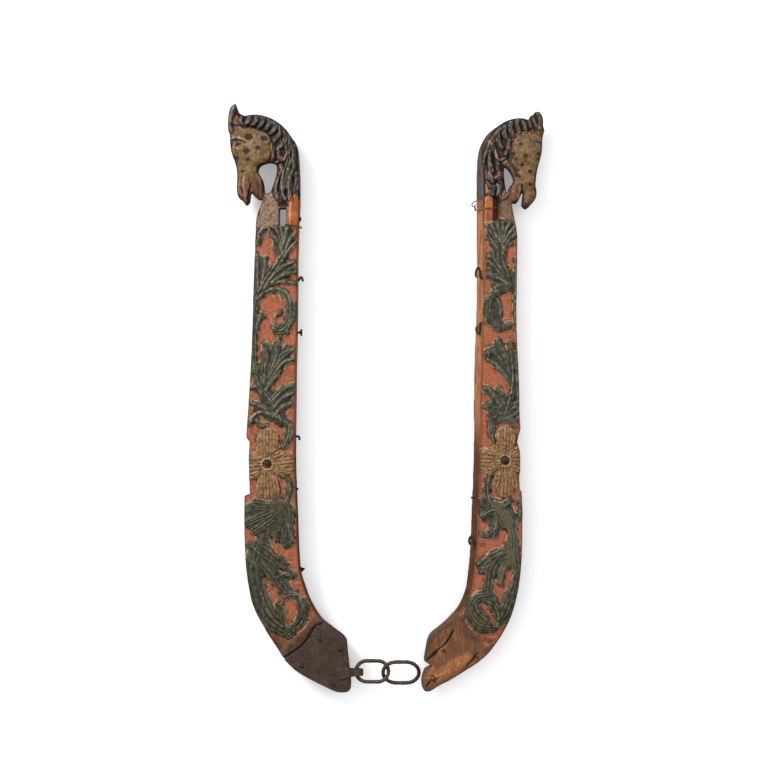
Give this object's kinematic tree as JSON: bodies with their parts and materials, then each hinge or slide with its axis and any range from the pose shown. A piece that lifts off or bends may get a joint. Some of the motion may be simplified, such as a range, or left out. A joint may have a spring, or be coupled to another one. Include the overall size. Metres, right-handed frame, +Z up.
{
  "type": "pair of wooden hames",
  "caption": "Pair of tall carved and painted wooden hames with horse-head tops, a sheet-iron foot shoe on one side and oval chain links that join the feet.",
  "frame": {"origin": "midway between the two hames, in the plane of their backs, at the height of the foot tips", "axes": "+Z up along the hames as worn, -Y towards the carved front, +X to the right as seen from the front"},
  "size_m": [0.3666, 0.0335, 0.6817],
  "materials": {
    "painted_wood": "old oil paint, worn, satin",
    "rusty_sheet_iron": "dark rust-pitted sheet iron",
    "forged_iron": "brown-black forged iron, dull",
    "binding_wire": "dull tarnished wire"
  },
  "bodies": {
    "left_half": {"left_hame": "painted_wood", "left_foot_shoe": "rusty_sheet_iron", "left_shoe_nail_1": "forged_iron", "left_shoe_nail_2": "forged_iron", "left_shoe_nail_3": "forged_iron", "left_shoe_nail_4": "forged_iron", "left_rosette_bolt": "forged_iron", "left_bolt_rove": "forged_iron", "left_post_wire": "binding_wire", "left_post_tack": "forged_iron", "left_edge_tack_1": "forged_iron", "left_edge_tack_2": "forged_iron", "left_edge_tack_3": "forged_iron", "left_edge_tack_4": "forged_iron", "left_edge_tack_5": "forged_iron"},
    "link_1": {"chain_link_1": "forged_iron"},
    "link_2": {"chain_link_2": "forged_iron"},
    "right_half": {"right_hame": "painted_wood", "right_rosette_bolt": "forged_iron", "right_bolt_rove": "forged_iron", "right_post_wire": "binding_wire", "right_edge_hook_1": "forged_iron", "right_edge_hook_2": "forged_iron", "right_edge_hook_3": "forged_iron", "right_edge_stub": "forged_iron", "right_foot_nail_1": "forged_iron", "right_foot_nail_2": "forged_iron"}
  },
  "joints": [
    {"name": "link_1_swing", "type": "hinge", "parent": "left_half", "child": "link_1", "pos_m": [-0.028, -0.013, 0.0226], "axis": [0, 1, 0], "range_deg": [-60, 60]},
    {"name": "link_2_swing", "type": "hinge", "parent": "link_1", "child": "link_2", "pos_m": [0, -0.013, 0.0236], "axis": [0, 0.2079, 0.9781], "range_deg": [-45, 30]},
    {"name": "right_half_slide", "type": "slide", "parent": "left_half", "child": "right_half", "axis": [1, 0, 0], "range_m": [0, 0.2]}
  ]
}
